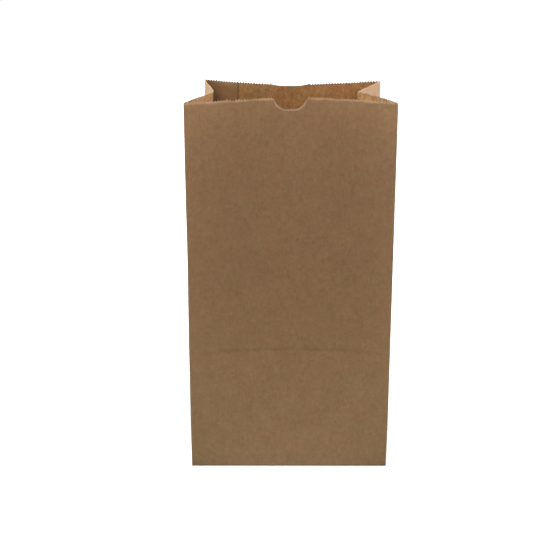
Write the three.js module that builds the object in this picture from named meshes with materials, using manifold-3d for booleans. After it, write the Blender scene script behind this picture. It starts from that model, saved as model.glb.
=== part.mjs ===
// Brown paper lunch bag, standing open on its flat base.
// It is one sheet of kraft paper: two panels, two side gussets that fold inwards, one glued
// lap down the back and a base of overlapping flaps. The mouth is cut to fine teeth, with a
// thumb notch in the front panel. Millimetres, +Z up, front panel towards -Y, and the origin
// on the ground under the middle of the base.
import * as THREE from 'three';
import { mergeVertices } from 'three/addons/utils/BufferGeometryUtils.js';
import Module from 'manifold-3d';

// Flat sizes of the bag
const panelWidth = 152.4;
const gussetWidth = 92.1;
const bagHeight = 281;
const paperThickness = 0.12;

// How far the mouth has closed: what its four sides lack of the flat widths
const frontLoss = 4.9;
const backLoss = 17.5;
const leftLoss = 4.1;
const rightLoss = 11.7;

// Where the mouth stands over the base: the bag leans back a little
const mouthLean = 20.8;
const frontShift = -0.6;
const backShift = 2.1;

// Inward bow of the middle of each panel: at the crease across it, and at the mouth
const frontBowAtCrease = 9.2;
const frontBowAtMouth = 18.2;
const backBowAtCrease = 5;
const backBowAtMouth = 18.3;

// Shape of the bow, left and right of the middle: 1 is a straight V and 4 is nearly a box
const creaseBowPower = [3.2, 3.7];
const frontMouthBowPower = [1.3, 1.7];
const backMouthBowPower = [1.55, 1.25];

// Outward bulge of the front halves of the gussets beside the front corners, at the mouth
const leftBulge = 0.8;
const rightBulge = 2.6;

// Soft fold at the four corners
const cornerRadius = 1.4;
const cornerGrowth = 0.3;

// Serrated cut of the mouth
const toothPitch = 2.12;
const toothHeight = 0.9;

// Thumb notch in the front edge, and the shallow dip across from it in the back edge
const notchWidth = 25;
const notchDepth = 8.6;
const dipWidth = 27;
const dipDepth = 1;
const cutPower = 2.6;
const cutSteps = 16;

// Glued lap: one edge of the sheet outside near the left back corner, the other one inside
const lapOuterEdge = 5;
const lapInnerEdge = 29.3;

// Base: how far the long flaps lap over each other at the middle, and how far from the corners
// their mitred ends leave the end folds
const flapOverlap = 20;
const mitreEase = 0.5;

// Rows and columns of the faces that follow the bends
const panelSteps = 16;
const gussetSteps = 3;
const rowsToGussetApex = 5;
const rowsToFrontCrease = 3;
const rowsToMouth = 5;
const mouthBand = notchDepth + 4;

// Colour and finish of the paper
const kraftColour = 0x8c6b4f;
const kraftRoughness = 0.85;

// The base is a stack of four layers: back flap, front flap, corner tucks and end flaps
const floorHeight = 4 * paperThickness;
const flapLength = (gussetWidth + flapOverlap) / 2;
const gussetApex = floorHeight + gussetWidth / 2;
const frontCrease = floorHeight + gussetWidth;

// Positions along the sheet, counted around the bag from the front left corner
const frontRight = panelWidth;
const backRight = frontRight + gussetWidth;
const backLeft = backRight + panelWidth;
const sheetLength = backLeft + gussetWidth;
const corners = [0, frontRight, backRight, backLeft, sheetLength];
const noticeableGap = 1e-6;

// The four corner folds as they stand at a height: straight lines from the base to the mouth.
function cornerFolds(z) {
  const halfFront = (panelWidth - frontLoss) / 2;
  const halfBack = (panelWidth - backLoss) / 2;
  const frontY = mouthLean - gussetWidth / 2;
  const mouthFL = new THREE.Vector2(frontShift - halfFront, frontY);
  const mouthFR = new THREE.Vector2(frontShift + halfFront, frontY);
  const behind = (front, x, depth) => {
    const across = x - front.x;
    return new THREE.Vector2(x, front.y + Math.sqrt(depth * depth - across * across));
  };
  const mouthBL = behind(mouthFL, backShift - halfBack, gussetWidth - leftLoss);
  const mouthBR = behind(mouthFR, backShift + halfBack, gussetWidth - rightLoss);
  const share = Math.max(0, (z - floorHeight) / (bagHeight - floorHeight));
  const fold = (x, y, mouth) => new THREE.Vector2(x, y).multiplyScalar(0.5).lerp(mouth, share);
  return {
    frontLeft: fold(-panelWidth, -gussetWidth, mouthFL),
    frontRight: fold(panelWidth, -gussetWidth, mouthFR),
    backRight: fold(panelWidth, gussetWidth, mouthBR),
    backLeft: fold(-panelWidth, gussetWidth, mouthBL),
  };
}

// The point at a share of the way from a to b, moved by a distance to the left of that way.
function besideLine(a, b, share, distance) {
  const along = b.clone().sub(a).normalize();
  const left = new THREE.Vector2(-along.y, along.x);
  return a.clone().lerp(b, share).addScaledVector(left, distance);
}

// Inward bow of a panel's middle: a power law up to its crease, then straight to the mouth.
function bowAt(z, creaseHeight, bowAtCrease, bowAtMouth, power) {
  if (z <= floorHeight) return 0;
  if (z < creaseHeight) {
    return bowAtCrease * Math.pow((z - floorHeight) / (creaseHeight - floorHeight), power);
  }
  return THREE.MathUtils.mapLinear(z, creaseHeight, bagHeight, bowAtCrease, bowAtMouth);
}

// A panel's point: the bow falls off from the middle to both corners as 1 - |x|^power.
function panelPoint(left, right, share, z, bow, mouthPower) {
  const x = 2 * share - 1;
  const side = x < 0 ? 0 : 1;
  const up = Math.max(0, (z - frontCrease) / (bagHeight - frontCrease));
  const power = THREE.MathUtils.lerp(creaseBowPower[side], mouthPower[side], up);
  return besideLine(left, right, share, bow * (1 - Math.pow(Math.abs(x), power)));
}

// A gusset's point. Above the apex it is a V along its centre fold. Below the apex two slanted
// folds run down to the base corners, and the triangle between them leans in a little. The
// paper keeps its length, so the closing of the corners sets how deep the folds lie.
function gussetPoint(start, end, place, z, bulgeNearStart, bulgeNearEnd) {
  const width = start.distanceTo(end);
  const slant = Math.min(Math.max(z - floorHeight, 0), gussetWidth / 2);
  const shortfall = Math.max(0, (gussetWidth - width) / 2);
  const depth = Math.sqrt(Math.max(0, slant * slant - (slant - shortfall) ** 2));
  const slantShare = slant > 0 ? (slant - shortfall) / width : 0;
  const foldA = besideLine(start, end, slantShare, depth);
  const foldB = besideLine(start, end, 1 - slantShare, depth);
  const up = Math.max(0, (z - floorHeight) / (bagHeight - floorHeight));
  const swell = (bulge, t) => -bulge * up * up * 6.75 * t * (1 - t) * (1 - t);
  if (place <= slant) {
    const t = slant > 0 ? place / slant : 0;
    return slant > 0 ? besideLine(start, foldA, t, swell(bulgeNearStart, t)) : start.clone();
  }
  if (place >= gussetWidth - slant) {
    const t = slant > 0 ? (gussetWidth - place) / slant : 0;
    return slant > 0 ? besideLine(foldB, end, 1 - t, swell(bulgeNearEnd, t)) : end.clone();
  }
  return foldA.lerp(foldB, (place - slant) / (gussetWidth - 2 * slant));
}

// The sheet with sharp corners: where a position along it stands at a height.
function sharpPoint(position, z) {
  const s = THREE.MathUtils.euclideanModulo(position, sheetLength);
  const fold = cornerFolds(z);
  if (s < frontRight) {
    const bow = bowAt(z, frontCrease, frontBowAtCrease, frontBowAtMouth, 0.7);
    return panelPoint(fold.frontLeft, fold.frontRight, s / panelWidth, z, bow, frontMouthBowPower);
  }
  if (s < backRight) {
    return gussetPoint(fold.frontRight, fold.backRight, s - frontRight, z, rightBulge, 0);
  }
  if (s < backLeft) {
    const bow = bowAt(z, gussetApex, backBowAtCrease, backBowAtMouth, 1);
    const share = (s - backRight) / panelWidth;
    const power = [backMouthBowPower[1], backMouthBowPower[0]];
    return panelPoint(fold.backRight, fold.backLeft, share, z, bow, power);
  }
  return gussetPoint(fold.backLeft, fold.frontLeft, s - backLeft, z, 0, leftBulge);
}

// Reach of the soft corner to either side of its fold: it grows from nothing at the base.
function cornerReach(z) {
  return Math.min(cornerRadius, cornerGrowth * Math.max(0, z - floorHeight));
}

// The sheet with its corners rounded, each as a parabola across the fold.
function sheetPoint(position, z) {
  const reach = cornerReach(z);
  const corner = corners.find((c) => Math.abs(position - c) < reach);
  if (corner === undefined) return sharpPoint(position, z);
  const t = (position - corner + reach) / (2 * reach);
  const before = sharpPoint(corner - reach, z);
  const after = sharpPoint(corner + reach, z);
  const first = before.lerp(sharpPoint(corner, z), t);
  return first.lerp(sharpPoint(corner, z).lerp(after, t), t);
}

// Both faces of the sheet beside its sharp outer line. In the lap the second layer lies
// outside, and from the lap to the right back corner that layer eases back into line. The lap
// starts above the base, where the sheet has turned under into the flaps.
function facesAt(position, z, afterStep) {
  const fromLeft = backLeft - position;
  const single = { outer: 0, inner: -paperThickness };
  if (z <= floorHeight || position < backRight || position > backLeft) return single;
  const past = (edge) => fromLeft < edge + (afterStep ? noticeableGap : -noticeableGap);
  if (past(lapOuterEdge)) return single;
  if (past(lapInnerEdge)) return { outer: paperThickness, inner: -paperThickness };
  const ease = (position - backRight) / (panelWidth - lapInnerEdge);
  return { outer: paperThickness * ease, inner: paperThickness * (ease - 1) };
}

// Columns of the faces along the sheet at a height, as positions from corner to corner.
function columnsAt(z) {
  const reach = cornerReach(z);
  const slant = Math.min(Math.max(z - floorHeight, 0), gussetWidth / 2);
  const spread = (from, to, steps) =>
    Array.from({ length: steps + 1 }, (_, i) => THREE.MathUtils.lerp(from, to, i / steps));
  const column = (position) => ({ position, afterStep: false });
  const step = (position) => [column(position), { position, afterStep: true }];
  const front = spread(reach, frontRight - reach, panelSteps).map(column);
  const gusset = (from, to) => [
    ...spread(from + reach, from + slant, gussetSteps),
    (from + to) / 2,
    ...spread(to - slant, to - reach, gussetSteps),
  ].map(column);
  const outerEdge = backLeft - lapOuterEdge;
  const innerEdge = backLeft - lapInnerEdge;
  const back = [
    ...spread(backRight + reach, innerEdge, panelSteps - 4).slice(0, -1).map(column),
    ...step(innerEdge),
    ...spread(innerEdge, outerEdge, 4).slice(1, -1).map(column),
    ...step(outerEdge),
    column(backLeft - reach),
  ];
  return [
    column(0), ...front,
    column(frontRight), ...gusset(frontRight, backRight),
    column(backRight), ...back,
    column(backLeft), ...gusset(backLeft, sheetLength),
    column(sheetLength),
  ];
}

// Depth of a rounded cut below the tips of the teeth, at a distance from its middle.
function cutDepth(distance, width, depth) {
  return depth * (1 - Math.pow(Math.abs(2 * distance / width), cutPower));
}

// The cut edge of the mouth: teeth all round, apart from the notch and the dip.
function mouthEdge() {
  const cuts = [
    { middle: panelWidth / 2, width: notchWidth, depth: notchDepth },
    { middle: backRight + panelWidth / 2, width: dipWidth, depth: dipDepth },
  ];
  const inCut = (s) => cuts.some((cut) => Math.abs(s - cut.middle) <= cut.width / 2 + toothPitch / 4);
  const toothCount = Math.round(sheetLength / toothPitch);
  const halfPitch = sheetLength / toothCount / 2;
  const toothDrop = (s) => toothHeight * Math.abs(1 - (s / halfPitch) % 2);
  const point = (position, drop, afterStep = false) => ({ position, z: bagHeight - drop, afterStep });
  const edge = [];
  for (let i = 0; i <= 2 * toothCount; i += 1) {
    const position = i === 2 * toothCount ? sheetLength : i * halfPitch;
    if (!inCut(position)) edge.push(point(position, i % 2 === 0 ? toothHeight : 0));
  }
  for (const cut of cuts) {
    for (let i = 0; i <= cutSteps; i += 1) {
      const distance = cut.width * (i / cutSteps - 0.5);
      edge.push(point(cut.middle + distance, cutDepth(distance, cut.width, cut.depth)));
    }
  }
  for (const lapEdge of [backLeft - lapInnerEdge, backLeft - lapOuterEdge]) {
    edge.push(point(lapEdge, toothDrop(lapEdge)), point(lapEdge, toothDrop(lapEdge), true));
  }
  return edge.sort((a, b) => a.position - b.position || Number(a.afterStep) - Number(b.afterStep));
}

// Heights of the rows of faces, from the ground to just under the notch.
function rowHeights() {
  const between = (from, to, steps) =>
    Array.from({ length: steps }, (_, i) => THREE.MathUtils.lerp(from, to, (i + 1) / steps));
  return [
    0,
    floorHeight,
    ...between(floorHeight, gussetApex, rowsToGussetApex),
    ...between(gussetApex, frontCrease, rowsToFrontCrease),
    ...between(frontCrease, bagHeight - mouthBand, rowsToMouth),
  ];
}

// One row of the wall: its outer and inner corners, set off square to the sheet. Where
// columns fall together, the direction is taken between the nearest ones that stand apart.
function wallRow(stations) {
  const flat = stations.map(({ position, z }) => sheetPoint(position, z));
  const count = stations.length;
  const apart = (from, step) => {
    let i = from;
    for (let n = 0; n < count; n += 1) {
      i = (i + step + count) % count;
      if (flat[i].distanceTo(flat[from]) > noticeableGap) break;
    }
    return flat[i];
  };
  const outward = (a, b) => new THREE.Vector2(b.y - a.y, a.x - b.x).normalize();
  return stations.map(({ position, z, afterStep }, i) => {
    const before = outward(apart(i, -1), flat[i]);
    const after = outward(flat[i], apart(i, 1));
    const mitre = before.clone().add(after).divideScalar(1 + before.dot(after));
    const faces = facesAt(position, z, afterStep);
    const corner = (offset) => {
      const p = flat[i].clone().addScaledVector(mitre, offset);
      return [p.x, p.y, z];
    };
    return { position, outer: corner(faces.outer), inner: corner(faces.inner) };
  });
}

// Faces between two rows with unlike columns: the row that lags behind steps on each time.
function zipRows(lower, upper, addTriangle) {
  let i = 0;
  let j = 0;
  while (i < lower.length - 1 || j < upper.length - 1) {
    const nextLower = i < lower.length - 1 ? lower[i + 1].position : Infinity;
    const nextUpper = j < upper.length - 1 ? upper[j + 1].position : Infinity;
    const tied = nextLower === nextUpper;
    const lowerLags = tied ? lower[i].position <= upper[j].position : nextLower < nextUpper;
    if (lowerLags) {
      addTriangle(lower[i], lower[i + 1], upper[j]);
      i += 1;
    } else {
      addTriangle(lower[i], upper[j + 1], upper[j]);
      j += 1;
    }
  }
}

// A geometry of loose triangles made into a closed solid, without faces that have no area.
function toSolid(wasm, geometry) {
  const bare = geometry.clone();
  bare.deleteAttribute('normal');
  bare.deleteAttribute('uv');
  const merged = mergeVertices(bare, 1e-5);
  const index = merged.index.array;
  const kept = [];
  for (let i = 0; i < index.length; i += 3) {
    const [a, b, c] = [index[i], index[i + 1], index[i + 2]];
    if (a !== b && b !== c && c !== a) kept.push(a, b, c);
  }
  return new wasm.Manifold(new wasm.Mesh({
    numProp: 3,
    vertProperties: new Float32Array(merged.attributes.position.array),
    triVerts: new Uint32Array(kept),
  }));
}

// A closed solid as a geometry with flat faces.
function toGeometry(solid) {
  const mesh = solid.getMesh();
  const geometry = new THREE.BufferGeometry();
  geometry.setAttribute('position', new THREE.BufferAttribute(mesh.vertProperties, 3));
  geometry.setIndex(new THREE.BufferAttribute(mesh.triVerts, 1));
  const flat = geometry.toNonIndexed();
  flat.computeVertexNormals();
  return flat;
}

// The wall of the bag: panels, gussets and lap, from the ground up to the cut edge.
function makeWall(wasm) {
  const rows = rowHeights().map((z) => wallRow(columnsAt(z).map((c) => ({ ...c, z }))));
  const rim = wallRow(mouthEdge());
  const coordinates = [];
  const triangle = (a, b, c) => coordinates.push(...a, ...b, ...c);
  const bothFaces = (a, b, c) => {
    triangle(a.outer, b.outer, c.outer);
    triangle(a.inner, c.inner, b.inner);
  };
  for (let row = 0; row < rows.length - 1; row += 1) {
    const lower = rows[row];
    const upper = rows[row + 1];
    for (let i = 0; i < lower.length - 1; i += 1) {
      bothFaces(lower[i], lower[i + 1], upper[i + 1]);
      bothFaces(lower[i], upper[i + 1], upper[i]);
    }
  }
  zipRows(rows[rows.length - 1], rim, bothFaces);
  for (let i = 0; i < rim.length - 1; i += 1) {
    triangle(rim[i].outer, rim[i + 1].outer, rim[i + 1].inner);
    triangle(rim[i].outer, rim[i + 1].inner, rim[i].inner);
  }
  const ground = rows[0];
  for (let i = 0; i < ground.length - 1; i += 1) {
    triangle(ground[i].outer, ground[i].inner, ground[i + 1].inner);
    triangle(ground[i].outer, ground[i + 1].inner, ground[i + 1].outer);
  }
  const geometry = new THREE.BufferGeometry();
  geometry.setAttribute('position', new THREE.Float32BufferAttribute(coordinates, 3));
  return toSolid(wasm, geometry);
}

// One paper layer of the base: an outline pulled straight up. Its two levels are counted in
// paper thicknesses, so that the faces of layers that touch lie at exactly the same height.
function makeLayer(wasm, outline, fromLayer, toLayer) {
  const shape = new THREE.Shape(outline.map(([x, y]) => new THREE.Vector2(x, y)));
  const geometry = new THREE.ExtrudeGeometry(shape, { depth: 1, bevelEnabled: false });
  const { position } = geometry.attributes;
  for (let i = 0; i < position.count; i += 1) {
    position.setZ(i, (position.getZ(i) > 0.5 ? toLayer : fromLayer) * paperThickness);
  }
  return toSolid(wasm, geometry);
}

// The base, folded like a parcel: the end flaps lie inside, the four corner tucks under them,
// then the front flap, and last the back flap, whose mitred ends show underneath.
function makeBase(wasm) {
  const x = panelWidth / 2 - 0.75 * paperThickness;
  const y = gussetWidth / 2 - 0.75 * paperThickness;
  const flap = Math.min(flapLength, x);
  const tip = x - flap + mitreEase;
  const longFlap = (side) => [[-x, side * y], [x, side * y], [x, side * (y - mitreEase)],
    [tip, side * (y - flap)], [-tip, side * (y - flap)], [-x, side * (y - mitreEase)]];
  const tuck = (end, side) => [[end * x, side * y], [end * (x - flap), side * y],
    [end * (x - flap), side * (y - flap)], [end * tip, side * (y - flap)],
    [end * x, side * (y - mitreEase)]];
  const endFlap = (end) => [[end * x, -y], [end * x, y], [end * (x - flap), y], [end * (x - flap), -y]];
  return [
    makeLayer(wasm, longFlap(1), 0, 1),
    makeLayer(wasm, longFlap(-1), 1, 2),
    makeLayer(wasm, tuck(-1, 1), 1, 3),
    makeLayer(wasm, tuck(1, 1), 1, 3),
    makeLayer(wasm, tuck(-1, -1), 2, 3),
    makeLayer(wasm, tuck(1, -1), 2, 3),
    makeLayer(wasm, endFlap(-1), 3, 4),
    makeLayer(wasm, endFlap(1), 3, 4),
  ];
}

const wasm = await Module();
wasm.setup();

const paperBag = makeBase(wasm).reduce((bag, layer) => bag.add(layer), makeWall(wasm));
const kraftPaper = new THREE.MeshStandardMaterial({
  color: kraftColour,
  roughness: kraftRoughness,
  metalness: 0,
});
const bagMesh = new THREE.Mesh(toGeometry(paperBag), kraftPaper);
bagMesh.name = 'paper_bag';

const bag = new THREE.Group();
bag.add(bagMesh);

export default bag;
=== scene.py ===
"""Brown paper lunch bag: the folded kraft sheet, its base flaps and a plain studio stage.

The sheet is worked out as one surface of two parameters: the position along the sheet,
counted around the bag from the front left corner, and the height. All lengths are metres.
"""

import math

import bpy
import numpy as np
from bpy.props import FloatProperty, FloatVectorProperty, IntProperty, PointerProperty
from mathutils import Matrix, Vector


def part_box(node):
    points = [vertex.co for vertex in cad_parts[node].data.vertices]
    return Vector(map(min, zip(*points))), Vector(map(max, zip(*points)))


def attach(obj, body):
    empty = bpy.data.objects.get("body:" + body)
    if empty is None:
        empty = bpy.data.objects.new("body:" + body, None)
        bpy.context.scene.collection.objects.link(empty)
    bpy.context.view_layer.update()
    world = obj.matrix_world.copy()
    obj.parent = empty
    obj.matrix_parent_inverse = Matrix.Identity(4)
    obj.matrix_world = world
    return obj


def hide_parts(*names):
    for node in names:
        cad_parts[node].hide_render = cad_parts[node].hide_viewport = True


bl_info = {
    "name": "Paper lunch bag",
    "version": (1, 0, 0),
    "blender": (4, 5, 0),
    "location": "3D View > Sidebar > Lunch Bag",
    "description": "Builds a folded kraft paper lunch bag and a plain studio stage",
    "category": "Add Mesh",
}

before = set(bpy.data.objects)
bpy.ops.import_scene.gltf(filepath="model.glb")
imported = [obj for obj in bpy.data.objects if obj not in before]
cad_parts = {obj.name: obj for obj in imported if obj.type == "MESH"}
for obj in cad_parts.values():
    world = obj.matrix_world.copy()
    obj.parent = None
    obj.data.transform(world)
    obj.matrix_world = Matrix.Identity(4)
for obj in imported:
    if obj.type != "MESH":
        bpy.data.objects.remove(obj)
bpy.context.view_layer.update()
cad_low, cad_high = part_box("paper_bag")

NODE = "paper_bag"
MM = 0.001
SEED = 7

# Places of the four corner folds, in the order in which the sheet meets them
FRONT_LEFT, FRONT_RIGHT, BACK_RIGHT, BACK_LEFT = range(4)

# Powers of a panel's bow, left and right of its middle: up to the crease, and at the mouth
CREASE_POWERS = (3.2, 3.7)
FRONT_POWERS = (1.3, 1.7)
BACK_POWERS = (1.25, 1.55)

# Power by which the bow grows from the base up to the crease
FRONT_GROWTH, BACK_GROWTH = 0.7, 1.0

# The waist of the left front fold: its height and reach as shares of the bag's height
WAIST_HEIGHT, WAIST_REACH = 0.6, 0.13

# Power of the round bottoms of the notch and the dip, and how far their cut lies below the tips
CUT_POWER = 3.2
CUT_DROP = 0.2 * MM

# Nicks of the uneven cut in front: place from the left corner, depth and reach, in millimetres
RIM_NICKS = (
    (21.0, 0.3, 1.8), (34.8, 0.8, 1.8), (42.2, 0.5, 1.6), (47.5, 0.6, 1.2), (110.4, 0.9, 2.2),
    (152.4, 1.0, 1.3),
)

# The soft unevenness: number of waves, how many run around the bag, and most waves per metre up
WAVES = 14
WAVES_AROUND = (3, 26)
WAVES_UP = 22

# Point attributes of the paper: millimetres below a cut, worn folds, lap, painted shade of the
# pocket and painted shade lines
MASKS = ("cut_mm", "fold", "lap", "pocket_shade", "line")

# Reach of the marks: worn folds, the apex, the pressed line, and the painted shade lines along the
# base fold and at the lap edges
FOLD_MARK, APEX_MARK, PRESSED_MARK = 0.9 * MM, 1.2 * MM, 1.3 * MM
BASE_SHADE_LINE, LAP_SHADOW_LINE = 1.4 * MM, 0.45 * MM

# Painted light and shade of the outer face by height, with painted shade at the foot: share of the
# bag's height and factors of red, green and blue
HEIGHT_SHADING = (
    (0.0, (0.83, 0.88, 0.87)), (0.04, (0.935, 0.99, 0.975)), (0.36, (0.905, 0.92, 0.905)),
    (0.55, (0.85, 0.85, 0.84)), (0.8, (0.87, 0.85, 0.865)), (1.0, (0.985, 0.95, 0.94)),
)

# Noise in the paper, per metre across and up the sheet, with detail, roughness and distortion:
# grain, cloud, curled fibres, upright streaks, specks and hue
NOISES = (
    ((420, 330, 1), 3, 0.75, 0.8), ((120, 70, 1), 3, 0.6, 0.4), ((300, 260, 1), 1, 0.5, 2.4),
    ((850, 90, 1), 2, 0.6, 0.0), ((900, 760, 1), 1, 0.5, 0.0), ((120, 95, 1), 1, 0.5, 0.5),
)

# Reach of the band at a cut edge in millimetres: outside the pale torn fibres with a painted
# highlight, inside the painted shade, and on the edge
OUTER_FIBRE_AND_HIGHLIGHT_BAND, INNER_SHADE_BAND, EDGE_FRAY = 1.2, 0.82, 0.8

# Lamps: the sun's strength and spread; then place, aim, width, height, power and colour of each
SUN = (3.53, 1.3)
WHITE, COOL = (1, 1, 1), (0.8, 0.935, 0.99)
AREA_LIGHTS = {
    "left_light": ((-1.3, 0.18, 0.3), (0, 0.03, 0.16), 0.7, 0.7, 36.9, COOL),
    "right_light": ((1.3, 0.18, 0.3), (0, 0.03, 0.16), 0.7, 0.7, 32.9, COOL),
    "front_light": ((0, -1.9, 1.2), (0, 0, 0.14), 1.2, 0.9, 15, WHITE),
    "back_light": ((0, 1.9, 1.2), (0, 0, 0.14), 1.2, 0.9, 14, WHITE),
    "mouth_light": ((0, -0.22, 0.62), (0, -0.02, 0.26), 0.3, 0.2, 0.36, WHITE),
}


def length(name, description, default):
    """A length property in metres."""
    return FloatProperty(
        name=name, description=description, default=default, unit="LENGTH", precision=5,
    )


def mm(name, description, default):
    """A length property, its default in millimetres."""
    return length(name, description, default * MM)


def tint(name, description, default):
    """A colour property."""
    return FloatVectorProperty(
        name=name, description=description, subtype="COLOR", size=3, min=0, max=1, default=default,
    )


def factor(name, description, default, most=1):
    """A property that runs from nothing to the most that makes sense."""
    return FloatProperty(
        name=name, description=description, default=default, min=0, max=most, subtype="FACTOR",
    )


def angle(name, description, default):
    """An angle property in radians."""
    return FloatProperty(name=name, description=description, subtype="ANGLE", default=default)


class LunchBagSizes(bpy.types.PropertyGroup):
    """Sizes of the folded sheet and of the mouth as it stands open."""

    panel_width: length("Panel width", "Flat width of front and back", cad_high[0] - cad_low[0])
    gusset_width: length("Gusset width", "Flat width of a side gusset", -2 * cad_low[1])
    height: length("Height", "Ground to the tips of the teeth", cad_high[2])
    paper: mm("Paper", "Thickness of the sheet", 0.12)
    front_loss: mm("Front loss", "Narrowing of the mouth in front", 4.86)
    back_loss: mm("Back loss", "Narrowing of the mouth at the back", 17.22)
    left_loss: mm("Left loss", "Narrowing of the mouth on the left", 4.29)
    right_loss: mm("Right loss", "Narrowing of the mouth on the right", 12.02)
    lean: mm("Lean", "How far the mouth stands behind the base", 21.62)
    front_shift: mm("Front shift", "Sideways shift of the mouth in front", -0.34)
    back_shift: mm("Back shift", "Sideways shift of the mouth at the back", 2.44)
    front_bow_crease: mm("Front bow at crease", "Inward bow at the front crease", 10.5)
    front_bow_mouth: mm("Front bow at mouth", "Inward bow of the front's rim", 18.24)
    back_bow_crease: mm("Back bow at crease", "Inward bow at the back crease", 5.0)
    back_bow_mouth: mm("Back bow at mouth", "Inward bow of the back's rim", 18.11)
    left_bulge: mm("Left bulge", "Bulge of the left gusset by the front corner", 0.8)
    right_bulge: mm("Right bulge", "Bulge of the right gusset by the front corner", 2.6)
    corner_radius: mm("Corner reach", "Reach of the soft corner beside its fold", 0.6)
    tooth_pitch: mm("Tooth pitch", "Distance between two teeth of the cut", 2.12)
    back_pitch: mm("Back tooth pitch", "Distance between two teeth at the back", 2.38)
    tooth_height: mm("Tooth height", "Depth of the serration", 1.15)
    front_tooth: mm("Front tooth height", "Depth of the serration in front", 1.6)
    front_rise: mm("Front rise", "How far the cut rises from the front corners", 0.7)
    rise_reach: mm("Rise reach", "Reach of that rise beside a corner", 20)
    notch_width: mm("Notch width", "Width of the thumb notch", 25)
    notch_depth: mm("Notch depth", "Depth of the thumb notch", 8.3)
    dip_width: mm("Dip width", "Width of the dip across from the notch", 33)
    dip_depth: mm("Dip depth", "Depth of the dip across from the notch", 1.3)
    dip_shift: mm("Dip shift", "How far the dip lies left of the middle", 2.0)
    left_slant: mm("Left slant", "How far the left gusset's cut falls by its fold", 0.95)
    slant_reach: mm("Slant reach", "How far that fall reaches from the corner", 36)
    lap_outer: mm("Lap outer edge", "From the left back corner to the outer edge", 5)
    lap_inner: mm("Lap inner edge", "From the left back corner to the inner edge", 30.2)
    flap_overlap: mm("Flap overlap", "Overlap of the long base flaps", 20)
    mitre_ease: mm("Mitre ease", "How far the mitres leave the corners", 0.5)
    fold_radius: mm("Fold radius", "Radius of the fold around the base", 1.0)
    waist: mm("Waist", "How far the left front fold draws in", 0.33)
    base_pull: mm("Base pull", "How far the sides draw in just above the base", 0.42)
    pull_reach: mm("Pull reach", "How far up the sides draw in above the base", 24)
    wave: mm("Wave", "Size of the soft unevenness of the sheet", 0.22)
    groove: mm("Groove", "Depth of the pressed line across the front", 0.12)
    row_pitch: mm("Row pitch", "Height of a row of faces above the gussets' apex", 7.0)


class KraftLook(bpy.types.PropertyGroup):
    """Colours and finish of the paper."""

    outside: tint("Outside", "Colour of the outer face", (0.288, 0.16, 0.0763))
    # The inner face is the paper's colour with a painted glow of light shining through the sheet,
    # which makes it warmer and redder than the outside
    inside: tint("Inside", "Colour of the inner face", (0.353, 0.168, 0.0612))
    # Painted shade: the lap is darker because two layers let less light through from behind
    lap: tint("Lap", "Colour of the double layer of the lap", (0.305, 0.155, 0.065))
    # Torn fibres; spread over the outer face's band by the cut, this colour is also a painted
    # highlight where the edge catches light
    cut: tint("Cut edge", "Colour of the torn fibres at a cut edge", (0.5, 0.31, 0.185))
    # Painted shade: the dark band on the inner face by the cut edge, the inner side of the teeth in
    # shade; a quarter of it also paints the pocket's shade
    inner_edge_shade: tint("Inner edge", "Colour of the inner face by the cut edge", (0.13, 0.06, 0.02))
    roughness: factor("Roughness", "Roughness of the sheet", 0.78)
    gloss: factor("Gloss", "Specular level of the sheet", 0.3)
    mottle: factor("Mottle", "Strength of the mottling outside", 0.78, 3)
    inner_mottle: factor("Inner mottle", "Strength of the mottling inside", 1.9, 3)
    streaks: factor("Streaks", "Strength of the upright streaks", 0.2, 3)
    specks: factor("Specks", "Strength of the dark specks", 0.35)
    hue_shift: factor("Hue shift", "Difference between reddish and olive spots", 0.018)
    red_share: factor("Red share", "How much of the mottling the red part follows", 0.72)
    wear: factor("Wear", "Paleness of the worn folds", 0.14)
    # Painted shade: how dark the pocket behind the left gusset is painted
    pocket_shade: factor("Pocket", "Darkness of the pocket behind the left gusset", 0.92)
    # Painted shade lines: the pressed crease, the fold round the base, the lap's edges and the
    # flaps' free edges
    line: factor("Line", "Darkness of pressed lines and lap edges", 0.8)
    relief: factor("Relief", "Strength of the fibres' relief", 0.35)
    relief_height: mm("Relief height", "Height of the fibres' relief", 0.06)


class StudioLook(bpy.types.PropertyGroup):
    """The floor, the sky and the camera."""

    floor: tint("Floor", "Colour of the floor", (0.86, 0.86, 0.86))
    floor_reach: length("Floor reach", "Half the width of the floor", 14.0)
    bounce: factor("Bounce", "Share of the floor's light that reaches the bag", 0.25)
    sky: factor("Sky", "Strength of the sky", 0.075, 10)
    backdrop: factor("Backdrop", "Brightness behind the floor", 1.0, 10)
    frame_pixels: IntProperty(
        name="Frame", description="Width and height of the picture", default=533, subtype="PIXEL",
    )
    focal_pixels: FloatProperty(
        name="Focal length", description="Focal length in pixels of the picture",
        default=901.1, subtype="PIXEL",
    )
    camera_place: FloatVectorProperty(
        name="Camera", description="Place of the camera", subtype="TRANSLATION", unit="LENGTH",
        size=3, default=(-13.8 * MM, -637.07 * MM, 413.39 * MM),
    )
    camera_pitch: angle("Pitch", "How far the camera looks down", 0.39256)
    camera_yaw: angle("Yaw", "How far the camera looks to the right", -0.00568)
    camera_roll: angle("Roll", "How far the camera leans over", -0.00254)


def floor_height(size):
    """Top of the four layers of the base."""
    return 4 * size.paper


def crease_heights(size):
    """Heights of the gussets' apex and of the line that the folded base presses into a panel."""
    floor = floor_height(size)
    return floor + size.gusset_width / 2, floor + size.gusset_width


def corner_places(size):
    """Positions of the four corner folds along the sheet, and the sheet's whole length."""
    panel, gusset = size.panel_width, size.gusset_width
    places = np.cumsum([0, panel, gusset, panel, gusset])
    return places[:-1], places[-1]


def rise(size, z):
    """Share of the way from the base to the mouth."""
    floor = floor_height(size)
    return np.maximum(0, (z - floor) / (size.height - floor))


def bell(distance, reach):
    """A soft mask: 1 at no distance, falling as exp(-(distance / reach)**2)."""
    return np.exp(-((distance / reach) ** 2))


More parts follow.
